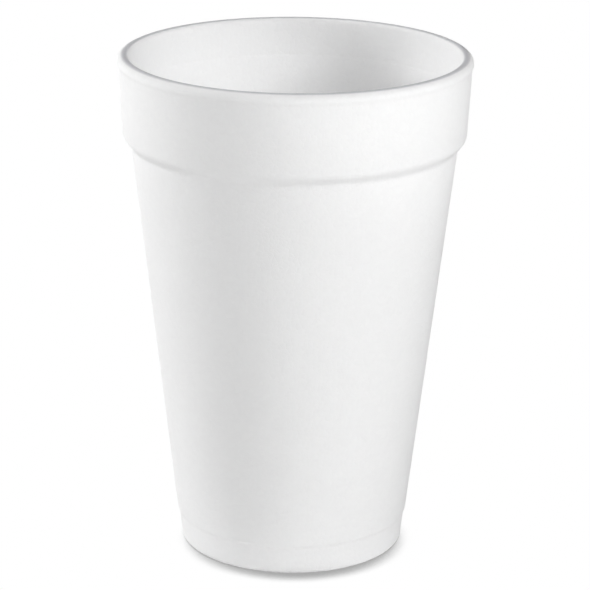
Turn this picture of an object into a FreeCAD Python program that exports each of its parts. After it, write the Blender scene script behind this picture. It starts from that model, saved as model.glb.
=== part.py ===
import FreeCAD, Part
import os

import Sketcher

# A foam drinking cup, steam-moulded in one piece from expanded polystyrene beads.
# Millimetres, +Z up. The origin is the centre of the foot, level with what the cup stands on.
# The cup is one profile turned about Z: a foot ring round a recessed floor, a tapered body,
# a thicker collar that hands and lids hold, a rolled lip, and a faint fill ledge inside the mouth.

NODE = "cup"

# Driving sizes in millimetres and degrees, one row of the spreadsheet each.
SIZES = [
    ("cup_height", 136.0, "foot to the top of the lip"),
    ("rim_diameter", 94.0, "across the lip, its widest place"),
    ("base_diameter", 60.5, "across the foot, before its corner is rounded"),
    ("lip_width", 3.15, "lip, from its outside to the mouth"),
    ("lip_height", 3.0, "top of the lip to where it meets the collar"),
    ("lip_overhang", 0.35, "lip, proud of the collar's top"),
    ("lip_underside_rise", 0.8, "slope under the lip, measured upwards"),
    ("lip_outer_round", 1.6, "round on the lip's outer shoulder"),
    ("lip_inner_round", 0.35, "round into the mouth"),
    ("lip_foot_round", 1.0, "rounds where the lip leaves the collar"),
    ("collar_height", 24.1, "top of the lip to the foot of the collar"),
    ("collar_draft", 3.0, "collar's slope from upright, in degrees"),
    ("collar_step", 2.2, "collar's lower edge, proud of the body"),
    ("collar_underside_rise", 2.3, "slope under the collar, measured upwards"),
    ("collar_round", 2.3, "round on the collar's lower edge"),
    ("collar_root_round", 1.4, "round where the collar's underside meets the body"),
    ("foot_height", 7.6, "foot band, up to its step"),
    ("foot_step", 0.35, "foot band, set in from the body"),
    ("foot_step_rise", 1.0, "slope of the foot's step, measured upwards"),
    ("foot_round", 1.0, "round on the foot's outer corner"),
    ("foot_ring_width", 3.2, "ring that the cup stands on, before rounding"),
    ("recess_depth", 3.5, "floor's underside, above the foot"),
    ("recess_draft", 8.0, "recess wall's slope from upright, in degrees"),
    ("recess_round", 0.8, "rounds on both edges of the recess wall"),
    ("wall_thickness", 2.0, "body wall at the floor, measured level"),
    ("floor_thickness", 3.0, "floor"),
    ("floor_round", 3.0, "round between the floor and the inside wall"),
    ("ledge_depth", 10.3, "top of the lip down to the fill ledge"),
    ("ledge_step", 0.15, "fill ledge, measured level"),
    ("ledge_rise", 0.6, "slope of the fill ledge, measured upwards"),
    ("mouth_draft", 2.0, "slope of the wall above the ledge, in degrees"),
]

# Heights above the foot, as formulas on the sheet.
LIP_FOOT = "(Sizes.cup_height - Sizes.lip_height)"
BODY_TOP = "(Sizes.cup_height - Sizes.collar_height)"
COLLAR_EDGE = f"({BODY_TOP} + Sizes.collar_underside_rise)"
STEP_TOP = "(Sizes.foot_height + Sizes.foot_step_rise)"
FLOOR_TOP = "(Sizes.recess_depth + Sizes.floor_thickness)"
LEDGE_TOP = "(Sizes.cup_height - Sizes.ledge_depth)"

# Radii, as formulas on the sheet. The body is one cone between its top and the ground, and the
# foot band and the inside wall are set in from that cone.
RIM = "(Sizes.rim_diameter / 2)"
COLLAR_TOP_RADIUS = f"({RIM} - Sizes.lip_overhang)"
COLLAR_EDGE_RADIUS = f"({COLLAR_TOP_RADIUS} - tan(Sizes.collar_draft) * ({LIP_FOOT} - {COLLAR_EDGE}))"
BODY_TOP_RADIUS = f"({COLLAR_EDGE_RADIUS} - Sizes.collar_step)"
BASE = "(Sizes.base_diameter / 2)"
BODY_GROUND_RADIUS = f"({BASE} + Sizes.foot_step)"
BODY_SLOPE = f"(({BODY_TOP_RADIUS} - {BODY_GROUND_RADIUS}) / {BODY_TOP})"
RING_INNER = f"({BASE} - Sizes.foot_ring_width)"
MOUTH = f"({RIM} - Sizes.lip_width)"
LEDGE_TOP_RADIUS = f"({MOUTH} - tan(Sizes.mouth_draft) * Sizes.ledge_depth)"

# The half profile's corners in order round the wall: name, radius, height. AXIS and GROUND are
# places on the sketch's own two axes.
AXIS = GROUND = None
PROFILE = [
    ("recess_centre", AXIS, "Sizes.recess_depth"),
    ("recess_corner", f"{RING_INNER} - tan(Sizes.recess_draft) * Sizes.recess_depth", "Sizes.recess_depth"),
    ("ring_inner", RING_INNER, GROUND),
    ("ring_outer", BASE, GROUND),
    ("foot_top", f"{BASE} + {BODY_SLOPE} * Sizes.foot_height", "Sizes.foot_height"),
    ("body_foot", f"{BODY_GROUND_RADIUS} + {BODY_SLOPE} * {STEP_TOP}", STEP_TOP),
    ("body_top", BODY_TOP_RADIUS, BODY_TOP),
    ("collar_edge", COLLAR_EDGE_RADIUS, COLLAR_EDGE),
    ("collar_top", COLLAR_TOP_RADIUS, LIP_FOOT),
    ("lip_foot", RIM, f"{LIP_FOOT} + Sizes.lip_underside_rise"),
    ("lip_shoulder", RIM, "Sizes.cup_height"),
    ("mouth_edge", MOUTH, "Sizes.cup_height"),
    ("ledge_top", LEDGE_TOP_RADIUS, LEDGE_TOP),
    ("ledge_foot", f"{LEDGE_TOP_RADIUS} - Sizes.ledge_step", f"{LEDGE_TOP} - Sizes.ledge_rise"),
    ("floor_corner", f"{BODY_GROUND_RADIUS} + {BODY_SLOPE} * {FLOOR_TOP} - Sizes.wall_thickness", FLOOR_TOP),
    ("floor_centre", AXIS, FLOOR_TOP),
]

# The lip's two rounds are held to shares of the lip, so that they never meet on a narrow or low one.
OUTER_SHARE = 0.6  # of the lip's width
INNER_SHARE = 0.3  # of the lip's width
FACE_SHARE = 0.75  # of the lip's upright outer face
LIP_FACE = "(Sizes.lip_height - Sizes.lip_underside_rise)"
LIP_OUTER = f"min(Sizes.lip_outer_round; {OUTER_SHARE} * Sizes.lip_width; {FACE_SHARE} * {LIP_FACE})"
LIP_INNER = f"min(Sizes.lip_inner_round; {INNER_SHARE} * Sizes.lip_width)"

# Rounds on the turned edges: feature name, radius, corners rounded.
ROUNDS = [
    ("RecessRound", "Sizes.recess_round", ["recess_corner", "ring_inner"]),
    ("FootRound", "Sizes.foot_round", ["ring_outer"]),
    ("CollarRound", "Sizes.collar_round", ["collar_edge"]),
    ("CollarRootRound", "Sizes.collar_root_round", ["body_top"]),
    ("LipFootRound", "Sizes.lip_foot_round", ["collar_top", "lip_foot"]),
    ("LipOuterRound", LIP_OUTER, ["lip_shoulder"]),
    ("LipInnerRound", LIP_INNER, ["mouth_edge"]),
    ("FloorRound", "Sizes.floor_round", ["floor_corner"]),
]

MATCH = 1e-6  # how near an edge lies to the corner that names it


def make_sheet(doc):
    """The driving sizes as a spreadsheet: name, plain number, meaning."""
    sheet = doc.addObject("Spreadsheet::Sheet", "Sizes")
    for row, (alias, value, meaning) in enumerate(SIZES, start=1):
        sheet.set(f"A{row}", alias)
        sheet.set(f"B{row}", str(value))
        sheet.set(f"C{row}", meaning)
        sheet.setAlias(f"B{row}", alias)
    doc.recompute()


def origin_plane(body, role):
    """One of the body's own origin planes, by its role."""
    return next(plane for plane in body.Origin.OriginFeatures if plane.Role == role)


def bind(sketch, kind, corner, line, formula):
    """A named distance from the sketch's origin to the start of a line, driven by a formula."""
    index = sketch.addConstraint(Sketcher.Constraint(kind, -1, 1, line, 1, 1.0))
    name = f"{corner}_{'radius' if kind == 'DistanceX' else 'height'}"
    sketch.renameConstraint(index, name)
    sketch.setExpression(f"Constraints.{name}", formula)


def draw_profile(body):
    """The half profile in the XZ plane: a closed loop of lines, each corner placed from the sheet."""
    sketch = body.newObject("Sketcher::SketchObject", "HalfProfile")
    sketch.AttachmentSupport = (origin_plane(body, "XZ_Plane"), [""])
    sketch.MapMode = "FlatFace"
    count = len(PROFILE)
    corners = [FreeCAD.Vector(1 + index, 1 + index * index, 0) for index in range(count)]
    for index in range(count):
        sketch.addGeometry(Part.LineSegment(corners[index], corners[(index + 1) % count]))
    for index in range(count):
        sketch.addConstraint(Sketcher.Constraint("Coincident", index, 2, (index + 1) % count, 1))
    for line, (name, radius, height) in enumerate(PROFILE):
        if radius is AXIS:
            sketch.addConstraint(Sketcher.Constraint("PointOnObject", line, 1, -2))
        else:
            bind(sketch, "DistanceX", name, line, radius)
        if height is GROUND:
            sketch.addConstraint(Sketcher.Constraint("PointOnObject", line, 1, -1))
        else:
            bind(sketch, "DistanceY", name, line, height)
    return sketch


def turn(body, sketch):
    """The cup's wall: the half profile turned once about the cup's axis."""
    wall = body.newObject("PartDesign::Revolution", "Wall")
    wall.Profile = sketch
    wall.ReferenceAxis = (sketch, ["V_Axis"])
    wall.Angle = 360
    return wall


def edge_at(shape, radius, height):
    """The name of the level circular edge of a shape at a radius and a height."""
    for number, edge in enumerate(shape.Edges, start=1):
        curve = edge.Curve
        if not isinstance(curve, Part.Circle):
            continue
        if abs(curve.Radius - radius) < MATCH and abs(curve.Center.z - height) < MATCH:
            return f"Edge{number}"
    raise ValueError(f"no edge at radius {radius}, height {height}")


def round_edges(doc, body, sketch):
    """A fillet for each row of ROUNDS, on the edges that the named corners turn into."""
    places = {name: sketch.getPoint(line, 1) for line, (name, _, _) in enumerate(PROFILE)}
    for name, radius, corners in ROUNDS:
        before = body.Tip
        edges = [edge_at(before.Shape, places[corner].x, places[corner].y) for corner in corners]
        fillet = body.newObject("PartDesign::Fillet", name)
        fillet.Base = (before, edges)
        fillet.setExpression("Radius", radius)
        doc.recompute()


def check(doc, body):
    """Stops unless every object is sound and the body is one valid solid."""
    failed = [item.Name for item in doc.Objects if {"Invalid", "Error"} & set(item.State)]
    if failed:
        raise RuntimeError(f"failed objects: {failed}")
    if body.Shape.isNull() or not body.Shape.isValid() or len(body.Shape.Solids) != 1:
        raise RuntimeError(f"{body.Label} is not one valid solid")


def main():
    doc = FreeCAD.newDocument("FoamCup")
    make_sheet(doc)
    body = doc.addObject("PartDesign::Body", "Cup")
    body.Label = NODE
    body.Placement = FreeCAD.Placement()
    sketch = draw_profile(body)
    doc.recompute()
    turn(body, sketch)
    doc.recompute()
    round_edges(doc, body, sketch)
    check(doc, body)
    os.makedirs("parts", exist_ok=True)
    body.Shape.exportStep(os.path.join("parts", f"{body.Label}.step"))
    box = body.Shape.optimalBoundingBox()
    print(f"{body.Label}: {box.XLength:.2f} x {box.YLength:.2f} x {box.ZLength:.2f} mm, "
          f"from z {box.ZMin:.3f}, {body.Shape.Volume / 1000:.2f} cm3")


main()
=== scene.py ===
import math

import bpy
import numpy as np
from mathutils import Matrix, Vector


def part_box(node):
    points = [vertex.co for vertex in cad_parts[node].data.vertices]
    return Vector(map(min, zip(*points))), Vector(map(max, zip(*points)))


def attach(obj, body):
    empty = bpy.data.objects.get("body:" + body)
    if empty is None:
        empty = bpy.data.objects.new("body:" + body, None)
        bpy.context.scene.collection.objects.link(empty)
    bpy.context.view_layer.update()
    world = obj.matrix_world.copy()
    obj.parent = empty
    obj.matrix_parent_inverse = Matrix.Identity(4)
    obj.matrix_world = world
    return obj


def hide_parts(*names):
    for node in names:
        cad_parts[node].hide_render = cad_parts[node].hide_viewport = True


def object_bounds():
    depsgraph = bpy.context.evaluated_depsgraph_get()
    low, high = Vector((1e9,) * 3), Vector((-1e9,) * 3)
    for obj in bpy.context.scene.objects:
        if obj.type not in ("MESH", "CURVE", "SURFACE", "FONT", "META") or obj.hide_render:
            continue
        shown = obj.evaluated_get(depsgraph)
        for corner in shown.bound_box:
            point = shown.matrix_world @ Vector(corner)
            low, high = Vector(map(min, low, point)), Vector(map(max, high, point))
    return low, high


# A foam drinking cup on a white table: one moulded piece of expanded polystyrene, open and empty.
# Metres throughout, in the CAD frame: +Z up, the origin at the centre of the foot.

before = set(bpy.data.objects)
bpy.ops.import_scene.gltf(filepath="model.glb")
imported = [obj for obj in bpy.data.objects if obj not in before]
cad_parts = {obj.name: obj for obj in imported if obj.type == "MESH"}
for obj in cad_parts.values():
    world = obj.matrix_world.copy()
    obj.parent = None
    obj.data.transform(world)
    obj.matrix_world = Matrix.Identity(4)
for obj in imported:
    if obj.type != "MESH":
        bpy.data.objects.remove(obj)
cad_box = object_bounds()

MM = 0.001

# ---------------------------------------------------------------- sizes of the cup

FOOT_RADIUS = 30.25 * MM        # before its corner is rounded
FOOT_ROUND = 1.0 * MM
FOOT_HEIGHT = 7.6 * MM          # foot band, up to its step
FOOT_STEP = 0.35 * MM           # foot band, set in from the body
FOOT_STEP_RISE = 1.0 * MM
FOOT_STEP_ROUND = 0.4 * MM
RING_WIDTH = 3.2 * MM           # the ring that the cup stands on
RECESS_DEPTH = 3.5 * MM
RECESS_DRAFT = 8.0              # degrees from upright
RECESS_ROUND = 0.8 * MM
WALL = 2.0 * MM                 # at the floor, measured level
FLOOR = 3.0 * MM
FLOOR_ROUND = 3.0 * MM

COLLAR_HEIGHT = 24.1 * MM       # top of the lip to the foot of the collar
COLLAR_DRAFT = 3.0              # degrees from upright
COLLAR_STEP = 2.2 * MM          # collar's lower edge, proud of the body
COLLAR_RISE = 2.3 * MM          # slope under the collar, measured upwards
COLLAR_ROUND = 3.2 * MM
COLLAR_ROOT_ROUND = 3.0 * MM

LIP_WIDTH = 3.15 * MM
LIP_HEIGHT = 3.0 * MM
LIP_OVERHANG = 0.35 * MM        # lip, proud of the collar's top
LIP_RISE = 0.8 * MM             # slope under the lip, measured upwards
LIP_OUTER_ROUND = 1.8 * MM
LIP_INNER_ROUND = 1.2 * MM
LIP_FOOT_ROUND = 1.0 * MM

LEDGE_DEPTH = 10.3 * MM         # top of the lip down to the fill ledge
LEDGE_STEP = 0.15 * MM
LEDGE_RISE = 0.6 * MM
LEDGE_ROUND = 0.8 * MM
MOUTH_DRAFT = 2.0               # degrees from upright

ARC_POINTS = 9                  # points on each rounded corner
LONGEST_STRETCH = 2.4 * MM      # longest side of a face, along the profile
AROUND = 360                    # faces round the cup


# ---------------------------------------------------------------- the cup's shape

def cup_corners(rim, height):
    """Corners of the half profile, as rows of radius, height and the rounding of the corner.

    Rim is the lip's outer radius, and height is the top of the lip. The corners run from the middle
    of the recess under the floor, round the foot, up the body, the collar and the lip, and down
    inside to the middle of the floor. The body is one cone from the collar to the ground, and the
    foot band and the inside wall are set in from that cone.
    """
    recess_lean, collar_lean, mouth_lean = (
        math.tan(math.radians(draft)) for draft in (RECESS_DRAFT, COLLAR_DRAFT, MOUTH_DRAFT))
    lip_foot = height - LIP_HEIGHT
    body_top = height - COLLAR_HEIGHT
    collar_edge = body_top + COLLAR_RISE
    ledge_top = height - LEDGE_DEPTH
    step_top = FOOT_HEIGHT + FOOT_STEP_RISE
    floor_top = RECESS_DEPTH + FLOOR

    collar_top_radius = rim - LIP_OVERHANG
    collar_edge_radius = collar_top_radius - collar_lean * (lip_foot - collar_edge)
    body_top_radius = collar_edge_radius - COLLAR_STEP
    body_ground_radius = FOOT_RADIUS + FOOT_STEP
    body_lean = (body_top_radius - body_ground_radius) / body_top
    ring_inner = FOOT_RADIUS - RING_WIDTH
    mouth = rim - LIP_WIDTH
    ledge_radius = mouth - mouth_lean * LEDGE_DEPTH
    return np.array([
        # under the cup: the recess, and the ring that it stands on
        (0.0, RECESS_DEPTH, 0.0),
        (ring_inner - recess_lean * RECESS_DEPTH, RECESS_DEPTH, RECESS_ROUND),
        (ring_inner, 0.0, RECESS_ROUND),
        (FOOT_RADIUS, 0.0, FOOT_ROUND),
        # up the outside: the foot band, its step, the body and the collar
        (FOOT_RADIUS + body_lean * FOOT_HEIGHT, FOOT_HEIGHT, FOOT_STEP_ROUND),
        (body_ground_radius + body_lean * step_top, step_top, FOOT_STEP_ROUND),
        (body_top_radius, body_top, COLLAR_ROOT_ROUND),
        (collar_edge_radius, collar_edge, COLLAR_ROUND),
        # over the lip, and into the mouth
        (collar_top_radius, lip_foot, LIP_FOOT_ROUND),
        (rim, lip_foot + LIP_RISE, LIP_FOOT_ROUND),
        (rim, height, LIP_OUTER_ROUND),
        (mouth, height, LIP_INNER_ROUND),
        # down the inside: the fill ledge, the wall and the floor
        (ledge_radius, ledge_top, LEDGE_ROUND),
        (ledge_radius - LEDGE_STEP, ledge_top - LEDGE_RISE, LEDGE_ROUND),
        (body_ground_radius + body_lean * floor_top - WALL, floor_top, FLOOR_ROUND),
        (0.0, floor_top, 0.0),
    ])


def unit(vectors):
    """Each vector divided by its own length."""
    return vectors / np.linalg.norm(vectors, axis=-1, keepdims=True)


def rounded_line(corners):
    """The corner line with each inner corner replaced by an arc tangent to both of its sides.

    With half the corner's angle h and the rounding r, the arc touches each side at r / tan h from
    the corner, and its centre lies on the bisector, at r / sin h. The arc's points are the centre
    plus r (cos a, sin a), with the angle a going evenly from one touching point to the other.
    """
    corner, radius = corners[1:-1, :2], corners[1:-1, 2:]
    back, ahead = unit(corners[:-2, :2] - corner), unit(corners[2:, :2] - corner)
    half = np.arccos(np.sum(back * ahead, axis=1, keepdims=True)) / 2
    centre = corner + unit(back + ahead) * radius / np.sin(half)
    start, end = (corner + side * radius / np.tan(half) - centre for side in (back, ahead))
    first = np.arctan2(start[:, 1:], start[:, :1])
    turn = (np.arctan2(end[:, 1:], end[:, :1]) - first + math.pi) % (2 * math.pi) - math.pi
    angle = first + turn * np.linspace(0, 1, ARC_POINTS)
    arcs = centre[:, None] + radius[:, None] * np.stack([np.cos(angle), np.sin(angle)], axis=-1)
    return np.vstack([corners[:1, :2], arcs.reshape(-1, 2), corners[-1:, :2]])


def divided(line, longest):
    """The same line, with every stretch cut into ceil(its length / longest) equal parts."""
    step = np.diff(line, axis=0)
    parts = np.ceil(np.linalg.norm(step, axis=1) / longest).astype(int)
    stretch = np.repeat(np.arange(len(parts)), parts)
    before = np.repeat(np.cumsum(parts) - parts, parts)
    share = (np.arange(parts.sum()) - before) / parts[stretch]
    return np.vstack([line[stretch] + share[:, None] * step[stretch], line[-1:]])


def turned(name, line, around):
    """A mesh of a half profile turned about Z: x = r cos a, y = r sin a, z = z.

    The line's two ends lie on the axis and become poles, each one vertex with a fan of triangles.
    The line runs up the outside and down the inside, so that every face points out of the foam.
    """
    angle = np.linspace(0, 2 * math.pi, around, endpoint=False)
    radius, height = line[1:-1].T
    rings = np.stack([np.outer(radius, np.cos(angle)), np.outer(radius, np.sin(angle)),
                      np.repeat(height[:, None], around, axis=1)], axis=-1)
    poles = [[0, 0, line[0, 1]], [0, 0, line[-1, 1]]]
    points = np.vstack([rings.reshape(-1, 3), poles])
    index = np.arange(radius.size * around).reshape(radius.size, around)
    onward = np.roll(index, -1, axis=1)
    quads = np.stack([index[:-1], onward[:-1], onward[1:], index[1:]], axis=-1).reshape(-1, 4)
    under, inside = (np.full(around, index.size + pole) for pole in (0, 1))
    fans = np.vstack([np.stack([under, onward[0], index[0]], axis=-1),
                      np.stack([inside, index[-1], onward[-1]], axis=-1)])
    mesh = bpy.data.meshes.new(name)
    mesh.from_pydata(points.tolist(), [], quads.tolist() + fans.tolist())
    mesh.shade_smooth()
    return mesh


def make_cup():
    """The cup, as wide and as high as its CAD node, which it replaces."""
    low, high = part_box("cup")
    line = rounded_line(cup_corners((high.x - low.x) / 2, high.z))
    mesh = turned("foam_cup", divided(line, LONGEST_STRETCH), AROUND)
    mesh.materials.append(moulded_polystyrene_foam(high.z))
    cup = bpy.data.objects.new("foam_cup", mesh)
    bpy.context.scene.collection.objects.link(cup)
    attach(cup, "root")
    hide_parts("cup")


# ---------------------------------------------------------------- materials

def linear(code):
    """An sRGB hex colour as linear RGBA."""
    parts = [int(code[i:i + 2], 16) / 255 for i in (0, 2, 4)]
    return [c / 12.92 if c <= 0.04045 else ((c + 0.055) / 1.055) ** 2.4 for c in parts] + [1.0]


def add(tree, kind, settings=None, links=None, **attributes):
    """Adds a node: its attributes, its input values, and links from other nodes' sockets."""
    node = tree.nodes.new(kind)
    for name, value in attributes.items():
        setattr(node, name, value)
    for name, value in (settings or {}).items():
        node.inputs[name].default_value = value
    for name, socket in (links or {}).items():
        tree.links.new(socket, node.inputs[name])
    return node


def new_material(name):
    """A material with no nodes yet, and its node tree."""
    material = bpy.data.materials.new(name)
    material.use_nodes = True
    material.node_tree.nodes.clear()
    return material, material.node_tree


BEAD = 1.3 * MM                 # width of one fused bead
BEAD_UNEVENNESS = 0.9           # 0 for beads in rows, 1 for beads placed by chance
SEAM = 0.12                     # seam between beads, as a share of a bead's width
SEAM_DEPTH = 0.05 * MM
SEAM_STRENGTH = 0.6
CLOUD = 9 * MM                  # broad patches, a little more or less white
CLOUD_TO_BEAD = 0.35            # mottling: 0 is all patches, 1 is all single beads
GRAIN = 0.25 * MM               # pitting of the skin of a bead
GRAIN_DEPTH = 0.015 * MM
GRAIN_STRENGTH = 0.25
LIP_SHADE_BAND = 0.3 * MM                # painted shade: the top of the lip mixed to grey, for the little light an up-facing lip gets
TRANSLUCENCE = 2.0 * MM         # how far light travels inside the foam
FOAM_ROUGHNESS = 0.6
FOAM_IOR = 1.45
FOAM_GLOSS = 0.1                # weak: a skin that is mostly air mirrors little


def moulded_polystyrene_foam(top):
    """Expanded polystyrene, steam-moulded against polished metal. Top is the height of the lip.

    To the eye: a bright white satin skin of flattened beads with faint seams between them, a body
    that light soaks a little way into, so that edges and hollows stay soft, and a thin grey line
    along the top of the lip that is painted shade, standing in for the little light it gets from
    above.
    """
    material, tree = new_material("moulded_polystyrene_foam")
    place = add(tree, "ShaderNodeTexCoord").outputs["Object"]
    beads = {"Scale": 1 / BEAD, "Randomness": BEAD_UNEVENNESS}
    bead = add(tree, "ShaderNodeTexVoronoi", beads, {"Vector": place})
    edge = add(tree, "ShaderNodeTexVoronoi", beads, {"Vector": place}, feature="DISTANCE_TO_EDGE")
    skin = add(tree, "ShaderNodeMapRange", {"From Min": 0.0, "From Max": SEAM},
               {"Value": edge.outputs["Distance"]}, interpolation_type="SMOOTHSTEP")
    cloud = add(tree, "ShaderNodeTexNoise", {"Scale": 1 / CLOUD, "Detail": 3.0}, {"Vector": place})
    grain = add(tree, "ShaderNodeTexNoise", {"Scale": 1 / GRAIN, "Detail": 2.0}, {"Vector": place})

    shade = add(tree, "ShaderNodeSeparateColor", links={"Color": bead.outputs["Color"]})
    mottle = add(tree, "ShaderNodeMix", {"Factor": CLOUD_TO_BEAD},
                 {"A": cloud.outputs["Fac"], "B": shade.outputs["Red"]})
    tint = add(tree, "ShaderNodeMixRGB", {"Color1": linear("F9F9FA"), "Color2": linear("FFFFFF")},
               {"Fac": mottle.outputs["Result"]})
    # painted shade: the topmost band of the lip is mixed towards grey C6C6CA, for the little light
    # it gets from above
    height = add(tree, "ShaderNodeSeparateXYZ", links={"Vector": place})
    lip_shade = add(tree, "ShaderNodeMapRange", {"From Min": top - LIP_SHADE_BAND, "From Max": top},
                {"Value": height.outputs["Z"]})
    white = add(tree, "ShaderNodeMixRGB", {"Color2": linear("C6C6CA")},
                {"Fac": lip_shade.outputs["Result"], "Color1": tint.outputs["Color"]})

    pits = add(tree, "ShaderNodeBump", {"Strength": GRAIN_STRENGTH, "Distance": GRAIN_DEPTH},
               {"Height": grain.outputs["Fac"]})
    seams = add(tree, "ShaderNodeBump", {"Strength": SEAM_STRENGTH, "Distance": SEAM_DEPTH},
                {"Height": skin.outputs["Result"], "Normal": pits.outputs["Normal"]})
    surface = add(tree, "ShaderNodeBsdfPrincipled",
                  {"Roughness": FOAM_ROUGHNESS, "IOR": FOAM_IOR, "Specular IOR Level": FOAM_GLOSS,
                   "Subsurface Weight": 1.0, "Subsurface Radius": (1.0, 1.0, 1.0),
                   "Subsurface Scale": TRANSLUCENCE},
                  {"Base Color": white.outputs["Color"], "Normal": seams.outputs["Normal"]})
    add(tree, "ShaderNodeOutputMaterial", links={"Surface": surface.outputs["BSDF"]})
    return material


def seen_directly(tree):
    """1 on a ray that shows the background: from the camera, a reflection or clear material."""
    rays = add(tree, "ShaderNodeLightPath").outputs
    camera_or_mirror = add(tree, "ShaderNodeMath", operation="MAXIMUM",
                           links={0: rays["Is Camera Ray"], 1: rays["Is Glossy Ray"]})
    seen = add(tree, "ShaderNodeMath", operation="MAXIMUM",
               links={0: camera_or_mirror.outputs[0], 1: rays["Is Transmission Ray"]})
    return seen.outputs[0]


SHEET_GLOW = 0.03               # of the acrylic, as the cup meets it
SHADE_REACH = 10 * MM           # how far from the cup the painted shadow reaches
SHADE_DARKEST = 0.41            # white left in the darkest of the painted shadow
COVERED, OPEN = 0.35, 0.575     # occlusion value at the darkest of the painted shadow, and past its end
OPENNESS_RAYS = 16
SHADE_TILT = {"X": -0.1, "Y": 0.7, "Z": 0.7}  # occlusion look tilted up and back, so the painted shadow falls in front


def cast_opal_acrylic():
    """Cast opal acrylic with a matt face, lit from below and behind.

    To the eye: plain white, but for a soft grey painted shadow close in front of the foot, where an
    ambient-occlusion look, tilted up and back, finds the cup near. The cup itself meets it as a
    matt white sheet that glows only faintly.
    """
    material, tree = new_material("cast_opal_acrylic")
    matt = add(tree, "ShaderNodeBsdfDiffuse", {"Color": linear("F2F2F2")})
    faint = add(tree, "ShaderNodeEmission", {"Color": linear("FFFFFF"), "Strength": SHEET_GLOW})
    sheet = add(tree, "ShaderNodeAddShader", links={0: matt.outputs[0], 1: faint.outputs[0]})

    # painted shadow: the white seen directly is dimmed by an ambient-occlusion factor, not by the
    # lamps' shadows
    shade_tilt = add(tree, "ShaderNodeCombineXYZ", SHADE_TILT)
    openness = add(tree, "ShaderNodeAmbientOcclusion", {"Distance": SHADE_REACH},
                   {"Normal": shade_tilt.outputs["Vector"]}, samples=OPENNESS_RAYS)
    strength = add(tree, "ShaderNodeMapRange",
                   {"From Min": COVERED, "From Max": OPEN, "To Min": SHADE_DARKEST, "To Max": 1.0},
                   {"Value": openness.outputs["AO"]})
    glow = add(tree, "ShaderNodeEmission", {"Color": linear("FFFFFF")},
               {"Strength": strength.outputs["Result"]})
    mixed = add(tree, "ShaderNodeMixShader",
                links={0: seen_directly(tree), 1: sheet.outputs[0], 2: glow.outputs[0]})
    add(tree, "ShaderNodeOutputMaterial", links={"Surface": mixed.outputs[0]})
    return material


# ---------------------------------------------------------------- table, light and camera

TABLE_SIDE = 6.0
LAMP_SIDE = 0.35
LAMP_DISTANCE = 1.0             # from the middle of the cup:
MIDDLE = Vector((0, 0, cad_box[1].z / 2))

# Softboxes: name, degrees round the cup (0 in front, positive to the right), degrees up, watts.
SOFTBOXES = [
    ("right_softbox", 61, 29, 4.95),
    ("front_softbox", 1, 26, 3.4),
    ("left_softbox", -105, 26, 5.2),
    ("rear_left_softbox", -120, 22, 2.5),
]

LENS = 161.45                   # focal length in millimetres, on a sensor this wide:
SENSOR = 36.0
CAMERA_PLACE = (0, -0.6827, 0.2913)
CAMERA_DOWN = 0.3149            # camera's turns from level and straight ahead, in radians
CAMERA_LEFT = -0.00064
CAMERA_ROLL = 0.0093


def make_table():
    """A plain white table at the height of the foot, far wider than the view."""
    half = TABLE_SIDE / 2
    mesh = bpy.data.meshes.new("table_top")
    mesh.from_pydata([(-half, -half, 0), (half, -half, 0), (half, half, 0), (-half, half, 0)],
                     [], [(0, 1, 2, 3)])
    mesh.materials.append(cast_opal_acrylic())
    table = bpy.data.objects.new("table_top", mesh)
    bpy.context.scene.collection.objects.link(table)


def make_softbox(name, azimuth, elevation, power):
    """A square lamp on a sphere round the middle of the cup, aimed at it."""
    lamp = bpy.data.lights.new(name, "AREA")
    lamp.size, lamp.energy = LAMP_SIDE, power
    around, up = math.radians(azimuth), math.radians(elevation)
    away = Vector((math.sin(around) * math.cos(up), -math.cos(around) * math.cos(up), math.sin(up)))
    box = bpy.data.objects.new(name, lamp)
    box.location = MIDDLE + away * LAMP_DISTANCE
    box.rotation_euler = away.to_track_quat("Z", "Y").to_euler()
    bpy.context.scene.collection.objects.link(box)


def make_room():
    """A world that is white where it is seen, and that gives the cup no light of its own."""
    world = bpy.data.worlds.new("studio")
    world.use_nodes = True
    tree = world.node_tree
    tree.nodes.clear()
    dark = add(tree, "ShaderNodeBackground", {"Color": linear("000000"), "Strength": 0.0})
    white = add(tree, "ShaderNodeBackground", {"Color": linear("FFFFFF"), "Strength": 1.0})
    mixed = add(tree, "ShaderNodeMixShader",
                links={0: seen_directly(tree), 1: dark.outputs[0], 2: white.outputs[0]})
    add(tree, "ShaderNodeOutputWorld", links={"Surface": mixed.outputs[0]})
    bpy.context.scene.world = world


def make_camera():
    """A long lens about 0.68 m in front of the cup, looking down at 18 degrees."""
    lens = bpy.data.cameras.new("camera")
    lens.lens, lens.sensor_width = LENS, SENSOR
    camera = bpy.data.objects.new("camera", lens)
    camera.matrix_world = (Matrix.Translation(CAMERA_PLACE)
                           @ Matrix.Rotation(CAMERA_LEFT, 4, "Z")
                           @ Matrix.Rotation(math.pi / 2 - CAMERA_DOWN, 4, "X")
                           @ Matrix.Rotation(CAMERA_ROLL, 4, "Z"))
    bpy.context.scene.collection.objects.link(camera)
    bpy.context.scene.camera = camera


def main():
    """Makes the scene."""
    bpy.context.scene.view_settings.view_transform = "Standard"
    make_cup()
    make_table()
    make_room()
    for softbox in SOFTBOXES:
        make_softbox(*softbox)
    make_camera()


main()
